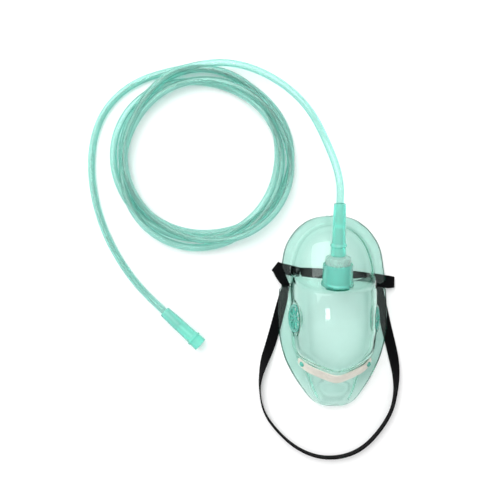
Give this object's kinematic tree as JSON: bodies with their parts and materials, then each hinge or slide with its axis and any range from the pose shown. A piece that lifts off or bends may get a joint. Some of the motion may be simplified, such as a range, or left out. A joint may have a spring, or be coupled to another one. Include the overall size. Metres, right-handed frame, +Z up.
{
  "type": "oxygen face mask with tubing",
  "caption": "Adult oxygen face mask: clear green PVC shell, vents, nose clip, swivel inlet, elastic head strap and a loosely coiled supply tube.",
  "frame": {"origin": "under the middle of the mask's box, on the surface that its rim lies on", "axes": "+Z up from the surface, +Y towards the chin end of the mask, +X to the side; the face side is down"},
  "size_m": [0.2399, 0.3064, 0.0551],
  "materials": {
    "green_pvc": "clear soft green PVC, glossy",
    "green_pvc_deep": "clear green PVC, thicker and deeper in colour",
    "green_ring": "translucent green moulded plastic",
    "milky_plastic": "milky translucent moulded plastic",
    "green_funnel": "translucent green soft PVC",
    "clip_aluminium": "bare soft aluminium strip, satin",
    "tube_pvc": "clear pale green PVC tubing",
    "strap_elastic": "black woven elastic"
  },
  "bodies": {
    "mask": {"mask_shell": "green_pvc", "vent_grille_left": "green_pvc_deep", "vent_grille_right": "green_pvc_deep", "nose_clip": "clip_aluminium", "nose_clip_stud_left": "green_pvc_deep", "nose_clip_stud_right": "green_pvc_deep", "tube_lead": "tube_pvc", "tube_coil": "tube_pvc", "tube_far_lead": "tube_pvc", "far_connector": "green_funnel", "head_strap": "strap_elastic"},
    "swivel": {"inlet_ring": "green_ring", "inlet_adapter": "milky_plastic"},
    "tube_connector": {"tube_connector": "green_funnel"}
  },
  "joints": [
    {"name": "inlet_swivel", "type": "hinge", "parent": "mask", "child": "swivel", "pos_m": [0, 0.022, 0.034], "axis": [0, 0.9659, 0.2588], "continuous": true},
    {"name": "connector_pull", "type": "slide", "parent": "mask", "child": "tube_connector", "axis": [0, 0.9659, 0.2588], "range_m": [0, 0.022], "deforming": ["tube_lead"]}
  ]
}
